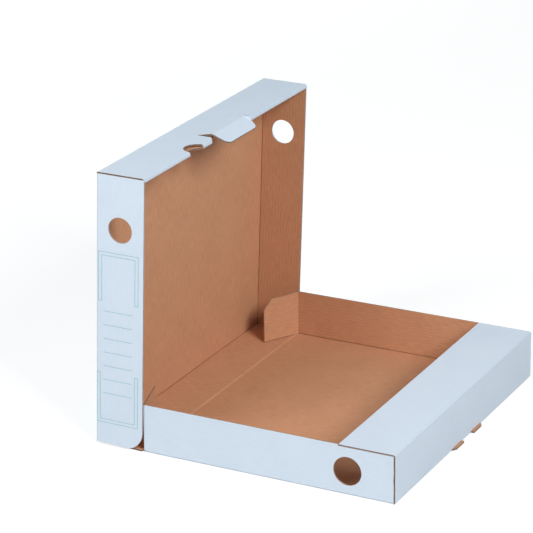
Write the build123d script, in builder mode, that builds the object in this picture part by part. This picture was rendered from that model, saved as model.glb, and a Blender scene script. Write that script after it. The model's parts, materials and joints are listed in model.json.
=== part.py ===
"""Folding archive box for loose papers, standing half open.

The box is one die-cut sheet of thin corrugated board. Its panels are modelled as
separate pieces that meet at their creases: a shallow tray that lies on the table,
a spine strip beside it, and a lid that stands on the spine. Spine and lid are drawn
flat and upright, and each of their pieces is then turned about the tray's crease by
the small angle at which the stiff board holds them off the table. The pieces of the lid's
top are turned up about their own fold before that, so that the top stands nearly level.

Frame: millimetres, origin on the table under the middle of the box, +Z up,
+X from the lid towards the tray's closed end, +Y from the near side to the far side.
"""
import os
from math import cos, radians, sin, sqrt, tan

from build123d import *

# Board
board = 1.5
fold_radius = 1.2
crease_gap = 0.1

# Lid
lid_width = 313.0
lid_height = 260.0
box_depth = 48.5
rest_lean = 2.6
front_rise = 2.3
lid_wall_setback = 0.8
lid_wall_lift = 0.3
spine_clearance = 0.3
lid_corner_radius = 18.0
front_setback = 0.3
lid_flap_length = 45.0
lid_flap_margin = 1.0
lid_flap_taper = 6.0
lining_margin = 0.5

# Tray
base_height = 46.5
side_clearance = 0.6
swing_clearance = 0.8
strip_width = 54.0
end_flap_length = 45.0
end_flap_margin = 1.0
end_flap_taper = 6.0
strip_tab_length = 26.0
strip_tab_height = 30.0
strip_tab_margin = 1.0
strip_tab_taper = 4.0

# Finger holes and thumb notch
lid_hole_radius = 12.0
lid_hole_inset = 50.5
lid_hole_depth = 24.0
base_hole_radius = 13.5
base_hole_inset = 45.5
base_hole_height = 22.5
spine_hole_radius = 12.5
spine_hole_inset = 74.0
notch_radius = 12.5
notch_inset = 94.0
lining_notch_shift = 4.0

# Lock tongue in the lid's front wall, measured from the near side and the front edge
tongue_crease_setback = 7.6
tongue_overhang = 9.8
tongue_near_inset = 136.5
tongue_crease_length = 62.0
tongue_near_taper = 1.0
tongue_far_slope = 1.0
tongue_far_taper = 9.5
tongue_corner_radius = 6.2
tongue_droop = 22.0
tongue_clearance = 0.6
slit_run = 11.3
slit_shift = 8.8
nose_shift = 9.0
nose_radius = 7.0

# Lock lugs in the plane of the floor
lug_length = 2.8
lug_width = 21.5
lug_gap = 22.0
lug_taper = 4.0
lug_clearance = 0.3

# Corner flaps at the tray's open end: the near one ends square, the far one has a cut corner
near_flap_length = 46.0
far_flap_length = 43.0
near_flap_angle = 74.0
far_flap_angle = 63.5
flap_axis_offset = 1.8
flap_crease_gap = 0.45
flap_hinge_lift = 2.0
flap_free_lift = 6.3
flap_top_drop = 0.3
flap_chamfer_length = 9.0
flap_chamfer_height = 10.0

# Places that follow from the sizes above. The tray is as long as the lid's lining lets it
# swing in: its top corner passes under the lining on an arc around the spine crease.
lid_half = lid_width / 2
spine_half = lid_half - board - spine_clearance
base_half = lid_half - board - side_clearance
base_inner = base_half - board
lining_underside = lid_height - 3 * board
swing_radius = lining_underside - board / 2 - swing_clearance
base_reach = sqrt(swing_radius**2 - (base_height - board / 2) ** 2)

spine_reach = box_depth - board
leaning_reach = spine_reach * cos(radians(rest_lean)) + board / 2
overall_length = leaning_reach + base_reach + lug_length
spine_hinge_x = leaning_reach - overall_length / 2
lid_hinge_x = spine_hinge_x - spine_reach
lid_back_x = lid_hinge_x - board / 2
lid_inner_x = lid_back_x + board
lid_front_x = lid_back_x + box_depth - front_setback
base_end_x = spine_hinge_x + base_reach
end_inner_x = base_end_x - board
strip_back_x = base_end_x - strip_width
strip_underside = base_height - board
flap_axis_x = spine_hinge_x + flap_axis_offset
flap_axis_y = base_half - board / 2
wall_start_x = flap_axis_x + board

tongue_axis_x = lid_front_x - tongue_crease_setback
tongue_axis_z = lid_height - board / 2
tongue_near_y = -lid_half + tongue_near_inset
tongue_far_y = tongue_near_y + tongue_crease_length
tongue_length = tongue_crease_setback + tongue_overhang
notch_y = -lid_half + notch_inset
nose_y = tongue_near_y - nose_shift
hinge_nose = board / 2
flap_start = hinge_nose + flap_crease_gap

SIDES = (("near", -1), ("far", 1))
FLAP_ANGLES = {"near": near_flap_angle, "far": far_flap_angle}
FLAP_LENGTHS = {"near": near_flap_length, "far": far_flap_length}
TRAY_CREASE = Axis((spine_hinge_x, 0, board / 2), (0, 1, 0))
LID_TOP_FOLD = Axis((lid_inner_x, 0, lid_height - board), (0, 1, 0))


def upright_plane(y):
    """Plane across Y at the given place, with its local axes along X and Z."""
    return Plane(origin=(0, y, 0), x_dir=(1, 0, 0), z_dir=(0, -1, 0))


def crossing_plane(x):
    """Plane across X at the given place, with its local axes along Y and Z."""
    return Plane.YZ.offset(x)


def span(low, high):
    """Middle and length of a stretch."""
    return (low + high) / 2, high - low


def rectangle_between(x_low, x_high, y_low, y_high, mode=Mode.ADD):
    """Rectangle in the current sketch, given by its two corners."""
    x_middle, x_size = span(x_low, x_high)
    y_middle, y_size = span(y_low, y_high)
    with Locations((x_middle, y_middle)):
        Rectangle(x_size, y_size, mode=mode)


def write(solid, name):
    """Label a finished solid and write it to its own file."""
    solid.label = name
    export_step(solid, f"parts/{name}.step")


def save(piece, name):
    """Keep a piece of the tray, which lies flat."""
    write(piece.part, name)


def save_leaning(piece, name):
    """Keep a piece of the spine or lid, turned about the tray's crease to where it rests."""
    write(piece.part.rotate(TRAY_CREASE, rest_lean), name)


def save_risen(piece, name):
    """Keep a piece of the lid's top, turned up about its fold and then leaning with the lid."""
    write(piece.part.rotate(LID_TOP_FOLD, -front_rise).rotate(TRAY_CREASE, rest_lean), name)


os.makedirs("parts", exist_ok=True)

# Tray floor, with two lugs that pass under the end wall
with BuildPart() as base_floor:
    with BuildSketch(Plane.XY):
        rectangle_between(spine_hinge_x + board, end_inner_x, -base_inner, base_inner)
        for side in (-1, 1):
            with BuildLine():
                Polyline(
                    (end_inner_x, side * lug_gap / 2),
                    (base_end_x + lug_length, side * lug_gap / 2),
                    (base_end_x + lug_length, side * (lug_gap / 2 + lug_width - lug_taper)),
                    (base_end_x, side * (lug_gap / 2 + lug_width)),
                    (end_inner_x, side * (lug_gap / 2 + lug_width)),
                    close=True,
                )
            make_face()
    extrude(amount=board)
save(base_floor, "base_floor")

# Tray side walls, one board lower under the cover strip
for side_name, side in SIDES:
    with BuildPart() as base_side_wall:
        with BuildSketch(upright_plane(side * base_half)):
            rectangle_between(wall_start_x, end_inner_x, 0, base_height)
            rectangle_between(strip_back_x, end_inner_x, strip_underside, base_height, Mode.SUBTRACT)
            with Locations((base_end_x - base_hole_inset, base_hole_height)):
                Circle(base_hole_radius, mode=Mode.SUBTRACT)
        extrude(amount=side * board)
        bottom_edges = base_side_wall.edges().filter_by(Axis.X).group_by(Axis.Z)[0]
        fillet(bottom_edges.sort_by(Axis.Y)[0 if side < 0 else -1], fold_radius)
    save(base_side_wall, f"base_{side_name}_wall")

# Tray end wall, cut away at the bottom where the lugs pass
with BuildPart() as base_end_wall:
    with BuildSketch(crossing_plane(end_inner_x)):
        rectangle_between(-base_half, base_half, 0, base_height)
    extrude(amount=board)
    outer_edges = base_end_wall.edges().filter_by(Axis.Y).group_by(Axis.X)[-1]
    fillet(outer_edges, fold_radius)
    with BuildSketch(crossing_plane(end_inner_x)):
        for side in (-1, 1):
            lug_inner_y = side * (lug_gap / 2 - lug_clearance)
            lug_outer_y = side * (lug_gap / 2 + lug_width + lug_clearance)
            slot_low, slot_high = sorted((lug_inner_y, lug_outer_y))
            rectangle_between(slot_low, slot_high, 0, board + lug_clearance)
    extrude(amount=board, mode=Mode.SUBTRACT)
save(base_end_wall, "base_end_wall")

# Cover strip folded back over the end of the tray, which makes a pocket there
with BuildPart() as base_cover_strip:
    with BuildSketch(Plane.XY.offset(strip_underside)):
        rectangle_between(strip_back_x, end_inner_x, -base_half, base_half)
    extrude(amount=board)
save(base_cover_strip, "base_cover_strip")

# Flaps turned in from the side walls behind the end wall
for side_name, side in SIDES:
    with BuildPart() as base_end_flap:
        with BuildSketch(crossing_plane(end_inner_x)):
            with BuildLine():
                Polyline(
                    (side * base_inner, board + end_flap_margin),
                    (side * base_inner, strip_underside - end_flap_margin),
                    (side * (base_inner - end_flap_length), strip_underside - end_flap_taper),
                    (side * (base_inner - end_flap_length), board + end_flap_taper),
                    close=True,
                )
            make_face()
        extrude(amount=-board)
    save(base_end_flap, f"base_end_{side_name}_flap")

# Tabs of the cover strip, tucked down inside the side walls
tab_front_x = end_inner_x - board - strip_tab_margin
for side_name, side in SIDES:
    with BuildPart() as strip_tab:
        with BuildSketch(upright_plane(side * base_inner)):
            with BuildLine():
                Polyline(
                    (tab_front_x, strip_underside),
                    (tab_front_x - strip_tab_taper, strip_underside - strip_tab_height),
                    (tab_front_x - strip_tab_length + strip_tab_taper, strip_underside - strip_tab_height),
                    (tab_front_x - strip_tab_length, strip_underside),
                    close=True,
                )
            make_face()
        extrude(amount=side * board)
    save(strip_tab, f"strip_{side_name}_tab")

# Rolled crease between the tray floor and the spine, fixed to the floor
with BuildPart() as floor_crease:
    with BuildSketch(upright_plane(base_inner)):
        rectangle_between(spine_hinge_x, spine_hinge_x + board, 0, board)
        with Locations((spine_hinge_x, board / 2)):
            Circle(hinge_nose)
    extrude(amount=2 * base_inner)
save(floor_crease, "floor_crease")

# Rolled creases on the side walls, and the corner flaps that swing on them
for side_name, side in SIDES:
    with BuildPart() as flap_crease:
        with BuildSketch(Plane.XY.offset(flap_hinge_lift)):
            with Locations((flap_axis_x + board / 2, side * flap_axis_y)):
                Rectangle(board, board)
            with Locations((flap_axis_x, side * flap_axis_y)):
                Circle(hinge_nose)
        extrude(amount=base_height - flap_top_drop - flap_hinge_lift)
    save(flap_crease, f"{side_name}_flap_crease")

    flap_x = -cos(radians(FLAP_ANGLES[side_name]))
    flap_y = -side * sin(radians(FLAP_ANGLES[side_name]))
    flap_plane = Plane(
        origin=(flap_axis_x, side * flap_axis_y, 0),
        x_dir=(flap_x, flap_y, 0),
        z_dir=(flap_y, -flap_x, 0),
    )
    flap_length = FLAP_LENGTHS[side_name]
    flap_top = base_height - flap_top_drop
    if side_name == "near":
        free_end = [(flap_length, flap_top)]
    else:
        free_end = [
            (flap_length, flap_top - flap_chamfer_height),
            (flap_length - flap_chamfer_length, flap_top),
        ]
    with BuildPart() as corner_flap:
        with BuildSketch(flap_plane):
            with BuildLine():
                Polyline(
                    (flap_start, flap_hinge_lift),
                    (flap_length, flap_free_lift),
                    *free_end,
                    (flap_start, flap_top),
                    close=True,
                )
            make_face()
        extrude(amount=board / 2, both=True)
    save(corner_flap, f"{side_name}_corner_flap")

# Spine strip with its finger hole, between the feet of the lid's side walls
with BuildPart() as spine_panel:
    with BuildSketch(Plane.XY):
        spine_near_x = lid_hinge_x + board
        spine_far_x = spine_hinge_x - hinge_nose - crease_gap
        rectangle_between(spine_near_x, spine_far_x, -spine_half, spine_half)
        with Locations(((spine_near_x + spine_far_x) / 2, -lid_half + spine_hole_inset)):
            Circle(spine_hole_radius, mode=Mode.SUBTRACT)
    extrude(amount=board)
save_leaning(spine_panel, "spine_panel")

# Rolled crease between the spine and the lid, fixed to the spine
with BuildPart() as lid_crease:
    with BuildSketch(upright_plane(spine_half)):
        rectangle_between(lid_hinge_x, lid_hinge_x + board, 0, board)
        with Locations((lid_hinge_x, board / 2)):
            Circle(hinge_nose)
    extrude(amount=2 * spine_half)
save_leaning(lid_crease, "lid_crease")

# Upright lid panel, rounded along the folds to its side walls, its top edge cut to the rise
panel_top = lid_height - board
with BuildPart() as lid_panel:
    with BuildSketch(upright_plane(lid_half)):
        with BuildLine():
            Polyline(
                (lid_back_x, board + crease_gap),
                (lid_inner_x, board + crease_gap),
                (lid_inner_x, panel_top),
                (lid_back_x, panel_top - board * tan(radians(front_rise))),
                close=True,
            )
        make_face()
    extrude(amount=lid_width)
    fillet(lid_panel.edges().filter_by(Axis.Z).group_by(Axis.X)[0], fold_radius)
save_leaning(lid_panel, "lid_panel")

# Lid side walls with finger holes, rounded off next to the spine, their tops cut to the rise
lid_wall_front_x = lid_back_x + box_depth - lid_wall_setback
wall_front_top = panel_top + (lid_wall_front_x - lid_inner_x) * tan(radians(front_rise))
for side_name, side in SIDES:
    with BuildPart() as lid_side_wall:
        with BuildSketch(upright_plane(side * lid_half)) as lid_wall_outline:
            with BuildLine():
                Polyline(
                    (lid_inner_x, lid_wall_lift),
                    (lid_wall_front_x, lid_wall_lift),
                    (lid_wall_front_x, wall_front_top),
                    (lid_inner_x, panel_top),
                    close=True,
                )
            make_face()
            open_corner = lid_wall_outline.vertices().group_by(Axis.Y)[0].sort_by(Axis.X)[-1]
            fillet(open_corner, lid_corner_radius)
            with Locations((lid_back_x + lid_hole_depth, lid_height - lid_hole_inset)):
                Circle(lid_hole_radius, mode=Mode.SUBTRACT)
        extrude(amount=side * board)
    save_leaning(lid_side_wall, f"lid_{side_name}_wall")

# Lid front wall, with its thumb notch, the slit and the opening that the tongue swings in
with BuildPart() as lid_front_wall:
    with BuildSketch(Plane.XY.offset(lid_height - board)):
        rectangle_between(lid_back_x, lid_front_x, -lid_half, lid_half)
    extrude(amount=board)
    fold_edges = lid_front_wall.edges().filter_by(Axis.Y).group_by(Axis.Z)[-1]
    fillet(fold_edges, fold_radius)
    with BuildSketch(Plane.XY.offset(lid_height - board)):
        with Locations((lid_front_x, notch_y)):
            Circle(notch_radius)
        with BuildLine():
            CenterArc((lid_front_x - nose_radius, nose_y - nose_radius), nose_radius, 0, 90)
            Polyline(
                (lid_front_x - nose_radius, nose_y),
                (tongue_axis_x - slit_run, tongue_near_y - slit_shift),
                (tongue_axis_x - board, tongue_near_y - tongue_clearance),
                (tongue_axis_x - board, tongue_far_y + tongue_clearance),
                (tongue_axis_x, tongue_far_y + tongue_clearance),
                (lid_front_x, tongue_far_y - tongue_far_slope + tongue_clearance),
                (lid_front_x + board, tongue_far_y - tongue_far_slope + tongue_clearance),
                (lid_front_x + board, nose_y - nose_radius),
                (lid_front_x, nose_y - nose_radius),
            )
        make_face()
    extrude(amount=board, mode=Mode.SUBTRACT)
save_risen(lid_front_wall, "lid_front_wall")

# Lining of the front wall: the sheet rolls over the front edge and returns underneath, and its
# half of the thumb notch is shallower
with BuildPart() as lid_front_lining:
    lining_half = lid_half - board - lining_margin
    with BuildSketch(Plane.XY.offset(lining_underside)):
        rectangle_between(lid_inner_x + lining_margin, lid_front_x, -lining_half, lining_half)
    extrude(amount=board)
    with BuildSketch(Plane.XY.offset(lining_underside + board)):
        rectangle_between(lid_front_x - board, lid_front_x, -lining_half, lining_half)
    extrude(amount=board)
    rolled_edge = lid_front_lining.edges().filter_by(Axis.Y).group_by(Axis.Z)[0].sort_by(Axis.X)[-1]
    fillet(rolled_edge, fold_radius)
    with BuildSketch(Plane.XY.offset(lining_underside)):
        with Locations((lid_front_x + lining_notch_shift, notch_y)):
            Circle(notch_radius)
        rectangle_between(
            tongue_axis_x - board,
            lid_front_x + board,
            nose_y,
            tongue_far_y + tongue_clearance,
        )
    extrude(amount=2 * board, mode=Mode.SUBTRACT)
save_risen(lid_front_lining, "lid_front_lining")

# Flaps turned in from the lid's side walls, held between the front wall and its lining
lid_flap_back_x = lid_inner_x + lid_flap_margin
lid_flap_front_x = lid_front_x - board - lid_flap_margin
for side_name, side in SIDES:
    with BuildPart() as lid_flap:
        with BuildSketch(Plane.XY.offset(lining_underside + board)):
            with BuildLine():
                Polyline(
                    (lid_flap_back_x, side * (lid_half - board)),
                    (lid_flap_front_x, side * (lid_half - board)),
                    (lid_flap_front_x - lid_flap_taper, side * (lid_half - board - lid_flap_length)),
                    (lid_flap_back_x + lid_flap_taper, side * (lid_half - board - lid_flap_length)),
                    close=True,
                )
            make_face()
        extrude(amount=board)
    save_risen(lid_flap, f"lid_{side_name}_flap")

# Rolled crease that carries the tongue, fixed to the front wall
with BuildPart() as tongue_crease:
    with BuildSketch(upright_plane(tongue_far_y)):
        with Locations((tongue_axis_x - board / 2, tongue_axis_z)):
            Rectangle(board, board)
        with Locations((tongue_axis_x, tongue_axis_z)):
            Circle(hinge_nose)
    extrude(amount=tongue_crease_length)
save_risen(tongue_crease, "tongue_crease")

# Lock tongue, drooping from its crease
droop_x = cos(radians(tongue_droop))
droop_z = sin(radians(tongue_droop))
tongue_plane = Plane(
    origin=(tongue_axis_x, 0, tongue_axis_z),
    x_dir=(droop_x, 0, -droop_z),
    z_dir=(droop_z, 0, droop_x),
)
with BuildPart() as lock_tongue:
    with BuildSketch(tongue_plane) as tongue_outline:
        with BuildLine():
            Polyline(
                (hinge_nose + crease_gap, tongue_near_y),
                (tongue_length, tongue_near_y + tongue_near_taper),
                (tongue_length, tongue_far_y - tongue_far_taper),
                (tongue_crease_setback, tongue_far_y - tongue_far_slope),
                (hinge_nose + crease_gap, tongue_far_y),
                close=True,
            )
        make_face()
        free_corners = tongue_outline.vertices().group_by(Axis.X)[-1]
        fillet(free_corners, tongue_corner_radius)
    extrude(amount=board / 2, both=True)
save_risen(lock_tongue, "lock_tongue")
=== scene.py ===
"""Folding archive box of thin corrugated board, white outside and kraft brown inside.

Every panel is built as real board: two paper liners with a wavy sheet between them, so that its
cut edges show the flutes. Lengths are in metres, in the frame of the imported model. Spine, lid and
tongue are drawn flat and upright, then turned by the small angle at which the spine leans. The
lid's top is turned up about its own fold before that.
"""
import json
import math

import bmesh
import bpy
from mathutils import Matrix, Vector


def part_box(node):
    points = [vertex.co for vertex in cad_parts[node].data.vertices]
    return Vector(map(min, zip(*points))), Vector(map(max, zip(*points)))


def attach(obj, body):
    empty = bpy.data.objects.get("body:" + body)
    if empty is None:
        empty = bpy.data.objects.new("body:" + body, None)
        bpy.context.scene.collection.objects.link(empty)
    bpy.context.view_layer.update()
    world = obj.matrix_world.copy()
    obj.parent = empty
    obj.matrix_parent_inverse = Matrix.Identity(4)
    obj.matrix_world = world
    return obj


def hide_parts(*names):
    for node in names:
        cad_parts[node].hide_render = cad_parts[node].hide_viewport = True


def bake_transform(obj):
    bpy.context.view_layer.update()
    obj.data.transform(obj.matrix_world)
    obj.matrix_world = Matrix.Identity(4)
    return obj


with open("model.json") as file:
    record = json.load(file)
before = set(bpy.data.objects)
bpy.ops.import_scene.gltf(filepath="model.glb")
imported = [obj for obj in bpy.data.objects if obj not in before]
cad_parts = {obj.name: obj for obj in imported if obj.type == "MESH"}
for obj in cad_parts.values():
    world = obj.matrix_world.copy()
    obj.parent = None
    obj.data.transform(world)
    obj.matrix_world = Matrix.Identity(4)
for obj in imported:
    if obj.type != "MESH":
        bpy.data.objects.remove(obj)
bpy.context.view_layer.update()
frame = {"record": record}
record = frame["record"]

MM = 0.001
X = Vector((1, 0, 0))
Y = Vector((0, 1, 0))
Z = Vector((0, 0, 1))

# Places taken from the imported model
END_LOW, END_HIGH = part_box("base_end_wall")
BOARD = END_HIGH.x - END_LOW.x
HALF_BOARD = BOARD / 2
LID_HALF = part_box("lid_panel")[1].y
TRAY_HALF = END_HIGH.y
TRAY_INNER = TRAY_HALF - BOARD
TRAY_END = END_HIGH.x
TRAY_TOP = END_HIGH.z
STRIP_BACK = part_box("base_cover_strip")[0].x
LUG_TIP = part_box("base_floor")[1].x

JOINTS = {joint["name"]: Vector(joint["pos_m"]) for joint in record["behaviour"]["joints"]}
OPENINGS = {
    opening["name"]: (Vector(opening["box_m"][0]) + Vector(opening["box_m"][1])) / 2
    for opening in record["physics"]["openings"]
}
SPINE_AXIS = JOINTS["box_closing"]
LID_AXIS = JOINTS["lid_opening"]


def turn_about(place, angle):
    """Turn by an angle about the line along Y through a place."""
    return Matrix.Translation(place) @ Matrix.Rotation(angle, 4, "Y") @ Matrix.Translation(-place)


# Lean of the spine and the lid about the tray's crease
SPINE_REACH = math.hypot(SPINE_AXIS.x - LID_AXIS.x, LID_AXIS.z - SPINE_AXIS.z)
LEAN = math.atan2(LID_AXIS.z - SPINE_AXIS.z, SPINE_AXIS.x - LID_AXIS.x)
LEAN_TURN = turn_about(SPINE_AXIS, LEAN)
LEANING_BODIES = ("spine", "lid", "tongue")

# Places on the spine and the lid before they lean
LID_HOLE = LEAN_TURN.inverted() @ OPENINGS["lid_near_finger_hole"]
SPINE_HOLE = LEAN_TURN.inverted() @ OPENINGS["spine_finger_hole"]
TRAY_HOLE = OPENINGS["tray_near_finger_hole"]
NOTCH_Y = OPENINGS["thumb_notch"].y
SPINE_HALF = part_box("spine_panel")[1].y
BOX_DEPTH = SPINE_REACH + BOARD
LID_HINGE_X = SPINE_AXIS.x - SPINE_REACH
LID_BACK = LID_HINGE_X - HALF_BOARD
LID_INNER = LID_BACK + BOARD
LID_FRONT_GAP = 0.3 * MM
LID_FRONT = LID_BACK + BOX_DEPTH - LID_FRONT_GAP

# Rise of the lid's top about its fold, which lifts the tongue's axis
FRONT_RISE = math.radians(2.3)
TONGUE_SETBACK = 7.6 * MM
TONGUE_X = LID_FRONT - TONGUE_SETBACK
TONGUE_LIFT = (TONGUE_X - LID_INNER) * math.sin(FRONT_RISE) + HALF_BOARD * math.cos(FRONT_RISE)
LID_TOP = (LEAN_TURN.inverted() @ JOINTS["tongue_bend"]).z - TONGUE_LIFT + BOARD
TONGUE_AXIS = Vector((TONGUE_X, 0, LID_TOP - HALF_BOARD))
TOP_FOLD = Vector((LID_INNER, 0, LID_TOP - BOARD))
RISE_TURN = turn_about(TOP_FOLD, -FRONT_RISE)

# Board
LINER = 0.3 * MM
FLUTE_PITCH = 3.2 * MM
FLUTE_STEPS = 8
MEDIUM_HALF = 0.1 * MM
MEDIUM_INSET = 0.2 * MM
SHORTEST_STRETCH = 4 * MEDIUM_INSET
GRID = 14 * MM
RIBBON_GRID = 5 * GRID
CUT_TOLERANCE = 1e-7
ARC_STEP = math.radians(9)
FOLD_STEPS = 8
FOLD_GROOVE = 0.6 * MM

# Creases: their reach to each side, the shares of that reach at which their points lie, how far a flat
# one is pressed in, and where the inner corner lies
CREASE_REACH = 1.3 * MM
CREASE_SHARES = (1, 0.65, 0.35)
CREASE_MARGIN = 0.1
BEND_STEPS = 6
FLAT_TURN = math.radians(10)
PRESSED_SHARE = 0.3
PRESSED_SHARPNESS = 9
FLOOR_RIDGE = 1.15
LID_GROOVE = 0.2
FLAP_GROOVE = 0.7

# Finger holes and thumb notch
LID_HOLE_RADIUS = 12 * MM
TRAY_HOLE_RADIUS = 13.5 * MM
SPINE_HOLE_RADIUS = 12.5 * MM
NOTCH_RADIUS = 12.5 * MM
LINING_NOTCH_SHIFT = 4 * MM

# Tray
WALL_CORNER = 0.6 * MM
STRIP_CORNER = 0.8 * MM
STRIP_GAP = 0.3 * MM
RAW_EDGE_DEPTH = 0.3 * MM
RAW_EDGE_TURNS = 5.2
RAW_EDGE_STEPS = 12
LUG_WIDTH = 21.5 * MM
LUG_GAP = 22 * MM
LUG_TAPER = 4 * MM
LUG_CORNER = 1.2 * MM
LUG_INNER_CORNER = 0.6 * MM
LUG_CLEARANCE = 0.3 * MM
END_FLAP_TAPER = 5 * MM
STRIP_TAB_TAPER = 4 * MM
TUCKED_CORNER = 4 * MM

# Corner flaps at the tray's open end
FLAP_ANGLES = {"near": math.radians(74), "far": math.radians(63.5)}
FLAP_LENGTHS = {"near": 44 * MM, "far": 43 * MM}
FLAP_HINGE_LIFT = 2 * MM
FLAP_FREE_LIFT = 3.5 * MM
FLAP_TOP_GAP = 0.3 * MM
FLAP_TOP = TRAY_TOP - FLAP_TOP_GAP
FLAP_CORNER = 1 * MM
FLAP_CHAMFER_LENGTH = 9 * MM
FLAP_CHAMFER_HEIGHT = 10 * MM

# Lid. The rolled edge covers three boards: front wall, flap and lining
LID_CORNER_RADIUS = 18 * MM
LID_WALL_SETBACK = 0.8 * MM
LID_WALL_FRONT = LID_BACK + BOX_DEPTH - LID_WALL_SETBACK
LID_WALL_LOW = 0.3 * MM
LID_BULGE = 0.5 * MM
LID_FLAP_LENGTH = 45 * MM
LID_FLAP_MARGIN = 1 * MM
LID_FLAP_TAPER = 6 * MM
LID_FLAP_CORNER = 5 * MM
LINING_MARGIN = 0.5 * MM
ROLL_THICKNESS = 3 * BOARD
ROLL_DEPTH = 1.5 * BOARD
ROLL_UPPER = 3.2 * MM
ROLL_INSET = 0.1 * MM

# Lock tongue, the slit beside it, the nose between slit and notch, and the bar that closes the far cut
TONGUE_INSET = 136.5 * MM
TONGUE_WIDTH = 62 * MM
TONGUE_OVERHANG = 9.8 * MM
TONGUE_NEAR = -LID_HALF + TONGUE_INSET
TONGUE_FAR = TONGUE_NEAR + TONGUE_WIDTH
TONGUE_LENGTH = TONGUE_SETBACK + TONGUE_OVERHANG
TONGUE_NEAR_TAPER = 1 * MM
TONGUE_FAR_SLOPE = 1 * MM
TONGUE_FAR_TAPER = 6.3 * MM
TONGUE_CORNER = 6.2 * MM
TONGUE_FAR_CORNER = 9 * MM
TONGUE_GAP = 0.3 * MM
TONGUE_DROOP = math.radians(22)
SLIT_RUN = 11.3 * MM
SLIT_SHIFT = 8.8 * MM
NOSE_SHIFT = 9 * MM
NOSE_Y = TONGUE_NEAR - NOSE_SHIFT
NOSE_RADIUS = 7 * MM
NOSE_END_SHARE = 0.95
CLOSING_THICKNESS = 0.3 * MM
CLOSING_SETBACK = 0.3 * MM
CLOSING_DROP = 0.1 * MM

# Printed labels. A frame is given by left, right, top and the end of its legs, writing lines by their
# count, first level, pitch, left and right, both in millimetres on their panel
LABEL_RISE = 0.06 * MM
LABEL_LINE = 0.75 * MM
LABEL_BAND = 3.2 * MM
LID_FRAMES = ((2, 43, 186.5, 139), (0.6, 43.2, 20.4, 70.3))
LID_LINES = (7, 49.6, 13.3, 7.4, 37)
SPINE_FRAMES = ((2, 42.5, 9, 51), (2, 42.5, 217.5, 175))
SPINE_LINES = (10, 34, 12.1, 8, 36)

# Paper: noise scales across and along the flutes, the ranges of noise that show, and the surface
FIBRE_SCALE = (900, 110)
FIBRE_DETAIL = 4
FIBRE_RANGE = (0.35, 0.75)
FIBRE_HEIGHT = 0.35
CLOUD_SCALE = (28, 28)
CLOUD_DETAIL = 3
CLOUD_RANGE = (0.3, 0.7)
BUMP_STRENGTH = 0.5
PAPER_SPECULAR = 0.25
INK_ROUGHNESS = 0.7
INK_GRAIN = 700
INK_UNEVENNESS = 1.25

# Floor and light
FLOOR_HALF = 8.0
FLOOR_DROP = 0.2 * MM
FLOOR_COLOUR = (0.42, 0.42, 0.42, 1)
FLOOR_GLOW = 0.69
SURROUND_COLOUR = (0.83, 0.95, 1.0, 1)
SURROUND_STRENGTH = 0.29
LAMP_AIM = Vector((0, 0, 0.1))

# Material slots of a board. The lighter kraft carries wear and a painted highlight, the darker white
# carries painted shade
WHITE, KRAFT, CUT, WORN_AND_HIGHLIGHT, SHADED_WHITE = range(5)

# The two sides of the box, with the sign of their Y
SIDES = (("near", -1), ("far", 1))


def new_material(name):
    """Fresh material with its nodes, its links and its shader."""
    material = bpy.data.materials.new(name)
    material.use_nodes = True
    nodes = material.node_tree.nodes
    return material, nodes, material.node_tree.links, nodes["Principled BSDF"]


def math_node(nodes, operation):
    """Node for one step of arithmetic."""
    node = nodes.new("ShaderNodeMath")
    node.operation = operation
    return node


def flute_wave(nodes, links, place):
    """Sine wave across the flutes, in step with the wavy sheet."""
    parts = nodes.new("ShaderNodeSeparateXYZ")
    links.new(place.outputs["UV"], parts.inputs["Vector"])
    turn = math_node(nodes, "MULTIPLY")
    turn.inputs[1].default_value = 2 * math.pi / FLUTE_PITCH
    links.new(parts.outputs["X"], turn.inputs[0])
    wave = math_node(nodes, "SINE")
    links.new(turn.outputs[0], wave.inputs[0])
    return wave.outputs[0]


def noise(nodes, links, place, scale, detail):
    """Noise over the sheet, with its own scale across and along the flutes."""
    stretch = nodes.new("ShaderNodeMapping")
    stretch.inputs["Scale"].default_value = (*scale, 1)
    links.new(place.outputs["UV"], stretch.inputs["Vector"])
    texture = nodes.new("ShaderNodeTexNoise")
    texture.inputs["Scale"].default_value = 1
    texture.inputs["Detail"].default_value = detail
    links.new(stretch.outputs["Vector"], texture.inputs["Vector"])
    return texture.outputs["Fac"]


def spread(nodes, links, value, low, high, to_low=0.0, to_high=1.0):
    """Value stretched from one range to another."""
    stretched = nodes.new("ShaderNodeMapRange")
    stretched.inputs["From Min"].default_value = low
    stretched.inputs["From Max"].default_value = high
    stretched.inputs["To Min"].default_value = to_low
    stretched.inputs["To Max"].default_value = to_high
    links.new(value, stretched.inputs["Value"])
    return stretched.outputs["Result"]


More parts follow.
